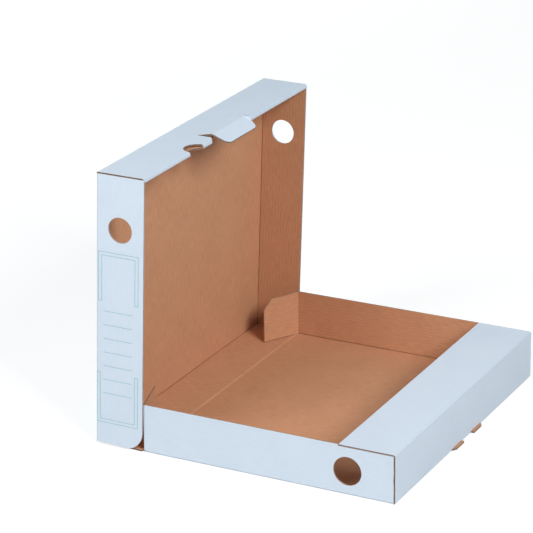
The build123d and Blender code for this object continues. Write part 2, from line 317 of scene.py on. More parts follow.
def paper(name, light, dark, fibre, wave_share, roughness, bump_depth):
    """Paper liner: clouds, fibres that run with the flutes, and faint flute stripes."""
    material, nodes, links, shader = new_material(name)
    shader.inputs["Roughness"].default_value = roughness
    shader.inputs["Specular IOR Level"].default_value = PAPER_SPECULAR
    place = nodes.new("ShaderNodeUVMap")
    place.uv_map = "sheet"
    wave = flute_wave(nodes, links, place)
    fibres = noise(nodes, links, place, FIBRE_SCALE, FIBRE_DETAIL)

    clouds = nodes.new("ShaderNodeMix")
    clouds.data_type = "RGBA"
    clouds.inputs["A"].default_value = (*light, 1)
    clouds.inputs["B"].default_value = (*dark, 1)
    patches = noise(nodes, links, place, CLOUD_SCALE, CLOUD_DETAIL)
    links.new(spread(nodes, links, patches, *CLOUD_RANGE), clouds.inputs["Factor"])
    streaks = nodes.new("ShaderNodeMix")
    streaks.data_type = "RGBA"
    streaks.blend_type = "MULTIPLY"
    streaks.inputs["B"].default_value = (*fibre, 1)
    links.new(spread(nodes, links, fibres, *FIBRE_RANGE), streaks.inputs["Factor"])
    links.new(clouds.outputs["Result"], streaks.inputs["A"])
    striped = nodes.new("ShaderNodeVectorMath")
    striped.operation = "SCALE"
    links.new(streaks.outputs["Result"], striped.inputs[0])
    links.new(spread(nodes, links, wave, -1, 1, 1 - wave_share, 1), striped.inputs["Scale"])
    links.new(striped.outputs["Vector"], shader.inputs["Base Color"])

    height = math_node(nodes, "MULTIPLY_ADD")
    height.inputs[1].default_value = FIBRE_HEIGHT
    links.new(fibres, height.inputs[0])
    links.new(wave, height.inputs[2])
    bump = nodes.new("ShaderNodeBump")
    bump.inputs["Strength"].default_value = BUMP_STRENGTH
    bump.inputs["Distance"].default_value = bump_depth
    links.new(height.outputs[0], bump.inputs["Height"])
    links.new(bump.outputs["Normal"], shader.inputs["Normal"])
    return material


def ink(name, colour):
    """Matt printing ink, slightly uneven."""
    material, nodes, links, shader = new_material(name)
    shader.inputs["Roughness"].default_value = INK_ROUGHNESS
    place = nodes.new("ShaderNodeTexCoord")
    grain = nodes.new("ShaderNodeTexNoise")
    grain.inputs["Scale"].default_value = INK_GRAIN
    links.new(place.outputs["Object"], grain.inputs["Vector"])
    mix = nodes.new("ShaderNodeMix")
    mix.data_type = "RGBA"
    mix.inputs["A"].default_value = (*colour, 1)
    mix.inputs["B"].default_value = (*[min(1, value * INK_UNEVENNESS) for value in colour], 1)
    links.new(grain.outputs["Fac"], mix.inputs["Factor"])
    links.new(mix.outputs["Result"], shader.inputs["Base Color"])
    return material


WHITE_PAPER = paper(
    "white_liner",
    light=(0.69, 0.77, 0.865),
    dark=(0.67, 0.75, 0.85),
    fibre=(0.95, 0.955, 0.96),
    wave_share=0.012,
    roughness=0.55,
    bump_depth=0.02 * MM,
)
KRAFT_PAPER = paper(
    "kraft_liner",
    light=(0.655, 0.337, 0.194),
    dark=(0.615, 0.315, 0.179),
    fibre=(0.86, 0.81, 0.76),
    wave_share=0.05,
    roughness=0.8,
    bump_depth=0.05 * MM,
)
# Cut edges, wavy sheet and inner faces of the liners: kraft made greyer and darker as painted shade of
# the flutes
CUT_AND_SHADE_PAPER = paper(
    "cut_edge_and_flute_shade",
    light=(0.38, 0.27, 0.21),
    dark=(0.32, 0.225, 0.175),
    fibre=(0.84, 0.81, 0.77),
    wave_share=0.0,
    roughness=0.9,
    bump_depth=0.02 * MM,
)
# Lighter kraft: burnished on the floor crease's inner side, and a painted highlight on the cut edges of
# the tray walls and corner flaps
WORN_AND_HIGHLIGHT_PAPER = paper(
    "kraft_worn_and_highlight",
    light=(0.73, 0.405, 0.245),
    dark=(0.67, 0.365, 0.21),
    fibre=(0.88, 0.84, 0.8),
    wave_share=0.0,
    roughness=0.75,
    bump_depth=0.03 * MM,
)
# Darker copy of the white liner: painted shade on the rounded folds, the rolled edge and the closing bar
SHADED_WHITE_PAPER = paper(
    "white_painted_shade",
    light=(0.64, 0.72, 0.815),
    dark=(0.62, 0.70, 0.80),
    fibre=(0.95, 0.955, 0.96),
    wave_share=0.0,
    roughness=0.6,
    bump_depth=0.003 * MM,
)
BOARD_MATERIALS = (WHITE_PAPER, KRAFT_PAPER, CUT_AND_SHADE_PAPER, WORN_AND_HIGHLIGHT_PAPER, SHADED_WHITE_PAPER)
INK = ink("label_ink", (0.33, 0.52, 0.56))


class Face:
    """Plane of a panel's outer face: in-plane directions, outward normal and a point on it."""

    def __init__(self, origin, along, across, outward):
        self.origin = Vector(origin)
        self.along = Vector(along)
        self.across = Vector(across)
        self.outward = Vector(outward)

    def matrix(self):
        """Matrix that brings a panel from its own plane to its place."""
        turn = Matrix((self.along, self.across, self.outward)).transposed().to_4x4()
        return Matrix.Translation(self.origin) @ turn


def rest_turn(body):
    """Turn that brings a piece of a body from where it is drawn to where it rests."""
    return LEAN_TURN if body in LEANING_BODIES else Matrix()


def leaned(direction):
    """Direction on the spine or the lid, turned by the lean."""
    return LEAN_TURN.to_3x3() @ direction


def risen(direction):
    """Direction on the lid's top, turned by the rise and the lean."""
    return leaned(RISE_TURN.to_3x3() @ direction)


def arc(centre, radius, start, end):
    """Points on an arc, from one angle to the other, both in radians."""
    steps = max(2, math.ceil(abs(end - start) / ARC_STEP))
    angles = [start + (end - start) * step / steps for step in range(steps + 1)]
    return [(centre[0] + radius * math.cos(a), centre[1] + radius * math.sin(a)) for a in angles]


def circle(centre, radius):
    """Closed ring of points for a round hole."""
    return arc(centre, radius, 0, 2 * math.pi)[:-1]


def rounded(points):
    """Outline from (u, v) or (u, v, radius) corners, with arcs at the corners that have a radius."""
    outline = []
    for index, corner in enumerate(points):
        here = Vector(corner[:2])
        radius = corner[2] if len(corner) > 2 else 0
        if not radius:
            outline.append(tuple(here))
            continue
        before = (Vector(points[index - 1][:2]) - here).normalized()
        after = (Vector(points[(index + 1) % len(points)][:2]) - here).normalized()
        half_angle = before.angle(after) / 2
        reach = radius / math.tan(half_angle)
        centre = here + (before + after).normalized() * (radius / math.sin(half_angle))
        start = here + before * reach - centre
        end = here + after * reach - centre
        first = math.atan2(start.y, start.x)
        turn = (math.atan2(end.y, end.x) - first + math.pi) % (2 * math.pi) - math.pi
        outline += arc(centre, radius, first, first + turn)
    return outline


def filled(bm, loops):
    """Flat faces that fill an outline with holes, cut into a loose grid."""
    edges = []
    for loop in loops:
        ring = [bm.verts.new((u, v, 0)) for u, v in loop]
        edges += [bm.edges.new((ring[i - 1], ring[i])) for i in range(len(ring))]
    bmesh.ops.triangle_fill(bm, use_beauty=True, edges=edges)
    for axis in range(2):
        low = min(point[axis] for point in loops[0])
        high = max(point[axis] for point in loops[0])
        cuts = int((high - low) / GRID)
        normal = Vector((1 - axis, axis, 0))
        for cut in range(1, cuts + 1):
            place = normal * (low + (high - low) * cut / (cuts + 1))
            geometry = bm.verts[:] + bm.edges[:] + bm.faces[:]
            bmesh.ops.bisect_plane(
                bm, geom=geometry, plane_co=place, plane_no=normal, dist=CUT_TOLERANCE
            )


def add_liner(target, loops, depth, outer_slot, inner_slot, edge_slot):
    """One paper liner, a thin slab whose upper face lies at the given depth below the outer face."""
    bm = bmesh.new()
    filled(bm, loops)
    lower = bm.faces[:]
    made = bmesh.ops.extrude_face_region(bm, geom=lower)["geom"]
    upper = [item for item in made if isinstance(item, bmesh.types.BMVert)]
    bmesh.ops.translate(bm, verts=bm.verts[:], vec=(0, 0, depth - LINER))
    bmesh.ops.translate(bm, verts=upper, vec=(0, 0, LINER))
    bmesh.ops.recalc_face_normals(bm, faces=bm.faces[:])
    for face in bm.faces:
        up = face.normal.z
        if abs(up) < 0.5:
            face.material_index = edge_slot
        else:
            face.material_index = outer_slot if up > 0 else inner_slot
    mesh = bpy.data.meshes.new("liner")
    bm.to_mesh(mesh)
    bm.free()
    target.from_mesh(mesh)
    bpy.data.meshes.remove(mesh)


def crossings(loops, wave_axis, place):
    """Stretches of a line across the outline, with its holes left out, as pairs of ends."""
    hits = []
    for loop in loops:
        for index, end in enumerate(loop):
            start = loop[index - 1]
            if (start[wave_axis] <= place) != (end[wave_axis] <= place):
                share = (place - start[wave_axis]) / (end[wave_axis] - start[wave_axis])
                hits.append(start[1 - wave_axis] + share * (end[1 - wave_axis] - start[1 - wave_axis]))
    hits.sort()
    pairs = zip(hits[::2], hits[1::2])
    return [(a + MEDIUM_INSET, b - MEDIUM_INSET) for a, b in pairs if b - a > SHORTEST_STRETCH]


def add_medium(bm, loops, wave_axis):
    """Wavy sheet between the liners, as closed ribbons of even cross-section."""
    low = min(point[wave_axis] for point in loops[0]) + MEDIUM_INSET
    high = max(point[wave_axis] for point in loops[0]) - MEDIUM_INSET
    swing = HALF_BOARD - LINER - MEDIUM_HALF
    count = max(2, round((high - low) / FLUTE_PITCH * FLUTE_STEPS))
    last = []
    for step in range(count + 1):
        place = low + (high - low) * step / count
        level = -HALF_BOARD + swing * math.sin(2 * math.pi * place / FLUTE_PITCH)
        rows = []
        for start, end in crossings(loops, wave_axis, place):
            row = []
            pieces = max(1, round((end - start) / RIBBON_GRID))
            for index in range(pieces + 1):
                along = start + (end - start) * index / pieces
                spot = (place, along) if wave_axis == 0 else (along, place)
                row.append([bm.verts.new((*spot, level + side * MEDIUM_HALF)) for side in (-1, 1)])
            rows.append(row)
        joined = len(rows) == len(last) and all(len(a) == len(b) for a, b in zip(rows, last))
        if joined:
            for row, before in zip(rows, last):
                add_ribbon_step(bm, before, row)
        else:
            for row in last + rows:
                add_ribbon_cap(bm, row)
        last = rows
        if step in (0, count):
            for row in rows:
                add_ribbon_cap(bm, row)


def add_ribbon_step(bm, before, row):
    """Upper, lower and end faces between two rows of the wavy sheet."""
    for index in range(len(row) - 1):
        for side in (0, 1):
            quad = (before[index][side], before[index + 1][side], row[index + 1][side], row[index][side])
            bm.faces.new(quad).material_index = CUT
    for index in (0, -1):
        quad = (before[index][0], before[index][1], row[index][1], row[index][0])
        bm.faces.new(quad).material_index = CUT


def add_ribbon_cap(bm, row):
    """Narrow face that closes a ribbon at one row."""
    for index in range(len(row) - 1):
        quad = (row[index][0], row[index + 1][0], row[index + 1][1], row[index][1])
        if bm.faces.get(quad) is None:
            bm.faces.new(quad).material_index = CUT


def add_skin(bm, rows, slots, smooth_count):
    """Closed bar through rows of points, one slot per side. Its first sides are shaded as one curve."""
    count = len(slots)
    for before, after in zip(rows, rows[1:]):
        for index, slot in enumerate(slots):
            quad = (before[index], before[(index + 1) % count], after[(index + 1) % count], after[index])
            face = bm.faces.new(quad)
            face.material_index = slot
            face.smooth = index < smooth_count
        for index in (0, smooth_count):
            bm.edges.get((before[index % count], after[index % count])).smooth = False
    for row in (rows[0], rows[-1]):
        face = bm.faces.new(row)
        face.material_index = CUT
        for edge in face.edges:
            edge.smooth = False


def add_prism(bm, section, start, end, axis, round_count):
    """Straight bar. The points of its cross-section are (across, height) beside the bar's axis."""
    rows = []
    for place in (start, end):
        spots = [(place, u, v) if axis == 0 else (u, place, v) for u, v in section]
        rows.append([bm.verts.new(spot) for spot in spots])
    slots = [SHADED_WHITE if index < round_count else KRAFT for index in range(len(section))]
    add_skin(bm, rows, slots, round_count)


def quarter_turns():
    """Even angles from zero to a right angle."""
    return [math.pi / 2 * step / FOLD_STEPS for step in range(FOLD_STEPS + 1)]


def add_fold(bm, axis, start, end, edge, side):
    """Rounded right-angle fold along a panel's edge, down to the neighbour at right angles below it."""
    section = []
    for turn in quarter_turns():
        section.append((edge + side * BOARD * math.sin(turn), -BOARD + BOARD * math.cos(turn)))
    add_prism(bm, section + [(edge, -BOARD)], start, end, axis, FOLD_STEPS)


def add_roll(bm, edge, reaches):
    """Roll of the sheet over a panel's edge, down to the lining.

    reaches holds its places along the edge, each with the share of its depth that it has there.
    """
    lower = ROLL_THICKNESS - ROLL_UPPER
    turns = quarter_turns()
    section = [(ROLL_DEPTH * math.sin(turn), -ROLL_UPPER * (1 - math.cos(turn))) for turn in turns]
    for turn in turns[1:]:
        section.append((ROLL_DEPTH * math.cos(turn), -ROLL_UPPER - lower * math.sin(turn)))
    rows = []
    for place, share in reaches:
        rows.append([bm.verts.new((edge + u * share, place, v)) for u, v in section])
    outer_count = len(section) - 1
    add_skin(bm, rows, [SHADED_WHITE] * outer_count + [KRAFT], outer_count)


def add_closing(bm, low, high):
    """Thin white bar, given by two corners, over a cut that the knife pressed shut."""
    rows = []
    for place in (low[0], high[0]):
        spots = [(low[1], low[2]), (high[1], low[2]), (high[1], high[2]), (low[1], high[2])]
        rows.append([bm.verts.new((place, v, height)) for v, height in spots])
    add_skin(bm, rows, [SHADED_WHITE] * 4, 0)


def lay_sheet(bm, across, along):
    """Sheet coordinates: the place of each corner across and along the flutes."""
    sheet = bm.loops.layers.uv.new("sheet")
    for polygon in bm.faces:
        for corner in polygon.loops:
            spot = corner.vert.co
            corner[sheet].uv = (spot.dot(across), spot.dot(along))


def make_object(name, bm, materials):
    """Object from a finished mesh, with its materials."""
    mesh = bpy.data.meshes.new(name)
    bm.to_mesh(mesh)
    bm.free()
    for material in materials:
        mesh.materials.append(material)
    piece = bpy.data.objects.new(name, mesh)
    bpy.context.collection.objects.link(piece)
    return piece


def board(
    name,
    node,
    body,
    face,
    outline,
    holes=(),
    wave_axis=0,
    bow=None,
    folds=(),
    rolls=(),
    closings=(),
    turn=Matrix(),
    edge=CUT,
    inner_outline=None,
):
    """A panel of corrugated board, white outside and kraft inside, with the folds along its edges.

    edge is the slot of its cut edges. inner_outline is the outline of the inner liner where it differs.
    """
    loops = [outline, *holes]
    inner_loops = [inner_outline or outline, *holes]
    bm = bmesh.new()
    add_liner(bm, loops, 0, WHITE, CUT, edge)
    add_liner(bm, inner_loops, -BOARD + LINER, CUT, KRAFT, edge)
    add_medium(bm, inner_loops, wave_axis)
    for fold in folds:
        add_fold(bm, *fold)
    for roll in rolls:
        add_roll(bm, *roll)
    for closing in closings:
        add_closing(bm, *closing)
    if bow:
        for vert in bm.verts:
            vert.co.z += bow(vert.co.x, vert.co.y)
    bmesh.ops.recalc_face_normals(bm, faces=bm.faces[:])
    across, along = (X, Y) if wave_axis == 0 else (Y, X)
    lay_sheet(bm, across, along)
    bmesh.ops.transform(bm, matrix=rest_turn(body) @ turn @ face.matrix(), verts=bm.verts[:])
    if face.matrix().determinant() < 0:
        bmesh.ops.reverse_faces(bm, faces=bm.faces[:])
    piece = make_object(name, bm, BOARD_MATERIALS)
    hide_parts(node)
    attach(piece, body)


def hump(low_u, high_u, low_v, high_v, height):
    """Slight bulge of a panel that is held along its edges."""

    def raised(u, v):
        across = math.sin(math.pi * min(1, max(0, (u - low_u) / (high_u - low_u))))
        along = math.sin(math.pi * min(1, max(0, (v - low_v) / (high_v - low_v))))
        return height * across * along

    return raised


def tray_floor():
    """Tray floor with the two lugs that pass under the end wall."""
    start = SPINE_AXIS.x + CREASE_REACH
    inner_end = TRAY_END - BOARD
    near_lug = LUG_GAP / 2
    far_lug = near_lug + LUG_WIDTH
    lug = [
        (inner_end, far_lug),
        (TRAY_END, far_lug),
        (LUG_TIP, far_lug - LUG_TAPER, LUG_CORNER),
        (LUG_TIP, near_lug, LUG_INNER_CORNER),
        (inner_end, near_lug),
    ]
    mirrored = [(corner[0], -corner[1], *corner[2:]) for corner in reversed(lug)]
    corners = [(start, TRAY_INNER), (inner_end, TRAY_INNER), *lug]
    corners += [*mirrored, (inner_end, -TRAY_INNER), (start, -TRAY_INNER)]
    wall_start = JOINTS["near_flap_fold"].x - HALF_BOARD
    folds = [(0, wall_start, inner_end, side * TRAY_INNER, side) for side in (-1, 1)]
    spans = [(-TRAY_HALF, -far_lug), (-near_lug, near_lug), (far_lug, TRAY_HALF)]
    folds += [(1, low, high, inner_end, 1) for low, high in spans]
    face = Face((0, 0, 0), X, Y, -Z)
    board("tray_floor", "base_floor", "base", face, rounded(corners), wave_axis=1, folds=folds)


def tray_walls():
    """Tray side walls with finger holes, one board lower under the cover strip."""
    start = JOINTS["near_flap_fold"].x + CREASE_REACH
    end = TRAY_END - BOARD
    step = TRAY_TOP - BOARD
    step_back = STRIP_BACK - STRIP_GAP
    for name, side in SIDES:
        upper = [
            (end, step),
            (step_back, step),
            (step_back, TRAY_TOP, WALL_CORNER),
            (start, TRAY_TOP, WALL_CORNER),
        ]
        outline = rounded([(start, BOARD), (end, BOARD), *upper])
        inner_low = BOARD + FOLD_GROOVE
        inner_outline = rounded([(start, inner_low), (end, inner_low), *upper])
        face = Face((0, side * TRAY_HALF, 0), X, Z, side * Y)
        hole = circle((TRAY_HOLE.x, TRAY_HOLE.z), TRAY_HOLE_RADIUS)
        board(
            f"tray_{name}_wall",
            f"base_{name}_wall",
            "base",
            face,
            outline,
            [hole],
            wave_axis=1,
            # Cut edges in the lighter kraft: a painted highlight
            edge=WORN_AND_HIGHLIGHT,
            inner_outline=inner_outline,
        )


def raw_edge(side, low, high):
    """Slightly uneven upright cut at one end of the end wall, as points with rising height."""
    steps = RAW_EDGE_STEPS
    points = []
    for step in range(steps + 1):
        height = low + (high - low) * step / steps
        wave = math.sin(RAW_EDGE_TURNS * step / steps * math.pi) * math.sin(math.pi * step / steps)
        points.append((side * (TRAY_HALF + RAW_EDGE_DEPTH * wave), height))
    return points


def tray_end():
    """End wall, cut away over the lugs, with the cover strip folded back from its top."""
    near_lug = LUG_GAP / 2 - LUG_CLEARANCE
    far_lug = LUG_GAP / 2 + LUG_WIDTH + LUG_CLEARANCE
    slot_top = BOARD + LUG_CLEARANCE
    half_cut = [(near_lug, BOARD), (near_lug, slot_top), (far_lug, slot_top), (far_lug, BOARD)]
    mirrored = [(-across, height) for across, height in reversed(half_cut)]
    corners = [*mirrored, *half_cut, *raw_edge(1, BOARD, TRAY_TOP - BOARD)]
    corners += reversed(raw_edge(-1, BOARD, TRAY_TOP - BOARD))
    face = Face((TRAY_END, 0, 0), Y, Z, X)
    board("tray_end_wall", "base_end_wall", "base", face, corners, wave_axis=0)

    inner_end = TRAY_END - BOARD
    corners = [
        (STRIP_BACK, -TRAY_HALF, STRIP_CORNER),
        (inner_end, -TRAY_HALF),
        (inner_end, TRAY_HALF),
        (STRIP_BACK, TRAY_HALF, STRIP_CORNER),
    ]
    face = Face((0, 0, TRAY_TOP), X, Y, Z)
    fold = (1, -TRAY_HALF, TRAY_HALF, inner_end, 1)
    board("cover_strip", "base_cover_strip", "base", face, rounded(corners), wave_axis=1, folds=[fold])


def hidden_flaps():
    """Flaps behind the end wall and tabs of the cover strip, both tucked inside the tray."""
    for name, side in SIDES:
        low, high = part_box(f"base_end_{name}_flap")
        root = side * TRAY_INNER
        tip = low.y if side > 0 else high.y
        corners = [
            (root, low.z),
            (root, high.z),
            (tip, high.z - END_FLAP_TAPER, TUCKED_CORNER),
            (tip, low.z + END_FLAP_TAPER, TUCKED_CORNER),
        ]
        face = Face((high.x, 0, 0), Y, Z, X)
        board(
            f"end_{name}_flap",
            f"base_end_{name}_flap",
            "base",
            face,
            rounded(corners),
            wave_axis=1,
        )
        low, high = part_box(f"strip_{name}_tab")
        corners = [
            (low.x, high.z),
            (low.x + STRIP_TAB_TAPER, low.z, TUCKED_CORNER),
            (high.x - STRIP_TAB_TAPER, low.z, TUCKED_CORNER),
            (high.x, high.z),
        ]
        face = Face((0, side * TRAY_INNER, 0), X, Z, side * Y)
        board(f"strip_{name}_tuck", f"strip_{name}_tab", "base", face, rounded(corners), wave_axis=1)


def spine():
    """Spine strip with its finger hole, white side down."""
    start = LID_HINGE_X + CREASE_REACH
    end = SPINE_AXIS.x - CREASE_REACH
    corners = [(start, -SPINE_HALF), (end, -SPINE_HALF), (end, SPINE_HALF), (start, SPINE_HALF)]
    face = Face((0, 0, 0), X, Y, -Z)
    hole = circle((SPINE_HOLE.x, SPINE_HOLE.y), SPINE_HOLE_RADIUS)
    board("spine_board", "spine_panel", "spine", face, corners, [hole], wave_axis=1)


def lid_back():
    """Upright lid panel with rounded folds to its side walls."""
    low = HALF_BOARD + CREASE_REACH
    high = LID_TOP - BOARD
    half = LID_HALF - BOARD
    corners = [(-half, low), (half, low), (half, high), (-half, high)]
    face = Face((LID_BACK, 0, 0), Y, Z, -X)
    folds = [(1, LID_WALL_LOW, high, side * half, side) for side in (-1, 1)]
    bulge = hump(-half, half, low, high, LID_BULGE)
    board("lid_back", "lid_panel", "lid", face, corners, wave_axis=0, bow=bulge, folds=folds)


def lid_walls():
    """Lid side walls with finger holes, rounded off next to the spine, their tops cut to the rise."""
    high = LID_TOP - BOARD
    slope = math.tan(FRONT_RISE)
    front_high = high + (LID_WALL_FRONT - LID_INNER) * slope
    outlines = []
    for groove in (0, FOLD_GROOVE):
        back = LID_INNER + groove
        corners = [
            (back, LID_WALL_LOW),
            (LID_WALL_FRONT, LID_WALL_LOW, LID_CORNER_RADIUS),
            (LID_WALL_FRONT, front_high),
            (back, high + groove * slope),
        ]
        outlines.append(rounded(corners))
    for name, side in SIDES:
        face = Face((0, side * LID_HALF, 0), X, Z, side * Y)
        hole = circle((LID_HOLE.x, LID_HOLE.z), LID_HOLE_RADIUS)
        board(
            f"lid_{name}_side",
            f"lid_{name}_wall",
            "lid",
            face,
            outlines[0],
            [hole],
            wave_axis=0,
            # Cut edges in the white liner's colour: a painted highlight
            edge=WHITE,
            inner_outline=outlines[1],
        )


def notch(edge, centre_x):
    """Round thumb notch in an edge, as points with rising Y."""
    start = math.acos((edge - centre_x) / NOTCH_RADIUS)
    return arc((centre_x, NOTCH_Y), NOTCH_RADIUS, -start, start - 2 * math.pi)


def lid_top():
    """Front wall of the lid with notch, slit and tongue opening, and its rolled edge."""
    edge = LID_FRONT - ROLL_DEPTH
    cut_back = TONGUE_AXIS.x - CREASE_REACH
    far_cut = TONGUE_FAR - TONGUE_FAR_SLOPE + TONGUE_GAP
    near_nose = NOSE_Y - NOSE_RADIUS
    nose_centre = (LID_FRONT - NOSE_RADIUS, near_nose)
    edge_turn = math.acos((NOSE_RADIUS - ROLL_DEPTH) / NOSE_RADIUS)
    thumb = notch(edge, LID_FRONT)
    outline = [(LID_INNER, -LID_HALF), (edge, -LID_HALF), *thumb]
    outline += arc(nose_centre, NOSE_RADIUS, edge_turn, math.pi / 2)
    outline += [
        (TONGUE_AXIS.x - SLIT_RUN, TONGUE_NEAR - SLIT_SHIFT),
        (cut_back, TONGUE_NEAR),
        (cut_back, TONGUE_FAR),
        (TONGUE_AXIS.x, TONGUE_FAR + TONGUE_GAP),
        (edge, far_cut),
        (edge, LID_HALF),
        (LID_INNER, LID_HALF),
    ]
    face = Face((0, 0, LID_TOP), X, Y, Z)
    back_fold = (1, -LID_HALF, LID_HALF, LID_INNER, -1)
    nose = arc(nose_centre, NOSE_RADIUS, 0, edge_turn * NOSE_END_SHARE)
    narrowing = [(place, (front - edge) / ROLL_DEPTH) for front, place in nose]
    rolls = [
        (edge, [(ROLL_INSET - LID_HALF, 1), (thumb[0][1], 1)]),
        (edge, [(thumb[-1][1], 1), *narrowing]),
        (edge, [(far_cut, 1), (LID_HALF - ROLL_INSET, 1)]),
    ]
    closing_low = (TONGUE_AXIS.x, far_cut - CLOSING_THICKNESS, -ROLL_THICKNESS)
    closing_high = (LID_FRONT - CLOSING_SETBACK, far_cut, -CLOSING_DROP)
    board(
        "lid_top",
        "lid_front_wall",
        "lid",
        face,
        outline,
        wave_axis=1,
        folds=[back_fold],
        rolls=rolls,
        closings=[(closing_low, closing_high)],
        turn=RISE_TURN,
    )


def lid_lining():
    """Lining under the front wall, white side down, cut away for the notch and the tongue."""
    edge = LID_FRONT - ROLL_DEPTH
    half = LID_HALF - BOARD - LINING_MARGIN
    back = LID_INNER + LINING_MARGIN
    cut_back = TONGUE_AXIS.x - BOARD
    far_cut = TONGUE_FAR + TONGUE_GAP
    thumb = notch(edge, LID_FRONT + LINING_NOTCH_SHIFT)
    outline = [(back, -half), (edge, -half), *thumb, (edge, NOSE_Y), (cut_back, NOSE_Y)]
    outline += [(cut_back, far_cut), (edge, far_cut), (edge, half), (back, half)]
    face = Face((0, 0, LID_TOP - ROLL_THICKNESS), X, Y, -Z)
    board("lid_lining", "lid_front_lining", "lid", face, outline, wave_axis=1, turn=RISE_TURN)


def lid_flaps():
    """Flaps of the lid's side walls, held between front wall and lining."""
    back = LID_INNER + LID_FLAP_MARGIN
    front = LID_FRONT - BOARD - LID_FLAP_MARGIN
    for name, side in SIDES:
        root = side * (LID_HALF - BOARD)
        tip = root - side * LID_FLAP_LENGTH
        corners = [
            (back, root),
            (front, root),
            (front - LID_FLAP_TAPER, tip, LID_FLAP_CORNER),
            (back + LID_FLAP_TAPER, tip, LID_FLAP_CORNER),
        ]
        face = Face((0, 0, LID_TOP - BOARD), X, Y, Z)
        board(
            f"lid_{name}_tuck",
            f"lid_{name}_flap",
            "lid",
            face,
            rounded(corners),
            turn=RISE_TURN,
        )


def tongue():
    """Lock tongue, drooping from its crease, with rounded free corners."""
    outward = Vector((math.sin(TONGUE_DROOP), 0, math.cos(TONGUE_DROOP)))
    along = Vector((math.cos(TONGUE_DROOP), 0, -math.sin(TONGUE_DROOP)))
    corners = [
        (CREASE_REACH, TONGUE_NEAR),
        (TONGUE_LENGTH, TONGUE_NEAR + TONGUE_NEAR_TAPER, TONGUE_CORNER),
        (TONGUE_LENGTH, TONGUE_FAR - TONGUE_FAR_TAPER, TONGUE_FAR_CORNER),
        (TONGUE_SETBACK, TONGUE_FAR - TONGUE_FAR_SLOPE),
        (CREASE_REACH, TONGUE_FAR),
    ]
    face = Face(TONGUE_AXIS + outward * HALF_BOARD, along, Y, outward)
    board("tongue_board", "lock_tongue", "tongue", face, rounded(corners), wave_axis=1, turn=RISE_TURN)


def flap_directions(name, side):
    """Direction in which a corner flap leaves its crease, and the normal of its white side."""
    angle = FLAP_ANGLES[name]
    along = Vector((-math.cos(angle), -side * math.sin(angle), 0))
    outward = Vector((-math.sin(angle), side * math.cos(angle), 0))
    return along, outward


def corner_flaps():
    """Flaps at the open end of the tray, half folded in, kraft side to the tray."""
    for name, side in SIDES:
        axis = JOINTS[f"{name}_flap_fold"]
        along, outward = flap_directions(name, side)
        length = FLAP_LENGTHS[name]
        free_end = [(length, FLAP_TOP, FLAP_CORNER)]
        if name == "far":
            free_end = [
                (length, FLAP_TOP - FLAP_CHAMFER_HEIGHT, FLAP_CORNER),
                (length - FLAP_CHAMFER_LENGTH, FLAP_TOP, FLAP_CORNER),
            ]
        corners = [
            (CREASE_REACH, FLAP_HINGE_LIFT),
            (length, FLAP_FREE_LIFT, FLAP_CORNER),
            *free_end,
            (CREASE_REACH, FLAP_TOP),
        ]
        face = Face(Vector((axis.x, axis.y, 0)) + outward * HALF_BOARD, along, Z, outward)
        board(
            f"{name}_flap_board",
            f"{name}_corner_flap",
            f"{name}_flap",
            face,
            rounded(corners),
            wave_axis=1,
            # Cut edges in the lighter kraft: a painted highlight
            edge=WORN_AND_HIGHLIGHT,
        )


def crease_section(leave, outward, inner_share):
    """Cross-section of a crease around its axis: the points of its outer side, then of its inner side.

    inner_share moves the point of the inner corner: below 1 it makes a groove, above 1 a ridge.
    """
    turn = outward[0].angle(outward[1])
    is_flat = turn < FLAT_TURN
    middle = (outward[0] + outward[1]).normalized()

    def side_point(which, share, height):
        return leave[which] * (CREASE_REACH * share) + outward[which] * height

    def pressed(share):
        if not is_flat:
            return HALF_BOARD
        return HALF_BOARD * (1 - PRESSED_SHARE * math.exp(-PRESSED_SHARPNESS * share * share))

    if is_flat:
        bend = [middle * pressed(0)]
    else:
        steps = range(BEND_STEPS + 1)
        bend = [outward[0].slerp(outward[1], step / BEND_STEPS) * HALF_BOARD for step in steps]
    outer = [side_point(0, share, pressed(share)) for share in CREASE_SHARES]
    outer += bend
    outer += [side_point(1, share, pressed(share)) for share in reversed(CREASE_SHARES)]
    corner_share = HALF_BOARD * math.tan(turn / 2) / CREASE_REACH
    clear = [share for share in CREASE_SHARES if share > corner_share + CREASE_MARGIN]
    corner = -middle * (HALF_BOARD / math.cos(turn / 2))
    inner = [side_point(1, share, -HALF_BOARD) for share in clear]
    inner += [corner * inner_share]
    inner += [side_point(0, share, -HALF_BOARD) for share in reversed(clear)]
    return outer, inner


def crease(name, node, axis, leave, outward, low, high, run, inner_slot=KRAFT, inner_share=1.0):
    """Rounded crease between two panels, drawn where the box rests.

    leave and outward hold the direction and the outward normal of the first and the second panel.
    It runs along run, from low to high.
    """
    outer, inner = crease_section(leave, outward, inner_share)
    ring = outer + inner
    bm = bmesh.new()
    pieces = max(1, round((high - low) / GRID))
    rows = []
    for index in range(pieces + 1):
        place = run * (low + (high - low) * index / pieces)
        rows.append([bm.verts.new(axis + place + spot) for spot in ring])
    outer_count = len(outer) - 1
    slots = [WHITE] * outer_count + [CUT] + [inner_slot] * (len(inner) - 1) + [CUT]
    add_skin(bm, rows, slots, outer_count)
    bmesh.ops.recalc_face_normals(bm, faces=bm.faces[:])
    lay_sheet(bm, run, leave[0])
    piece = make_object(name, bm, BOARD_MATERIALS)
    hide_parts(node)
    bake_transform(piece)


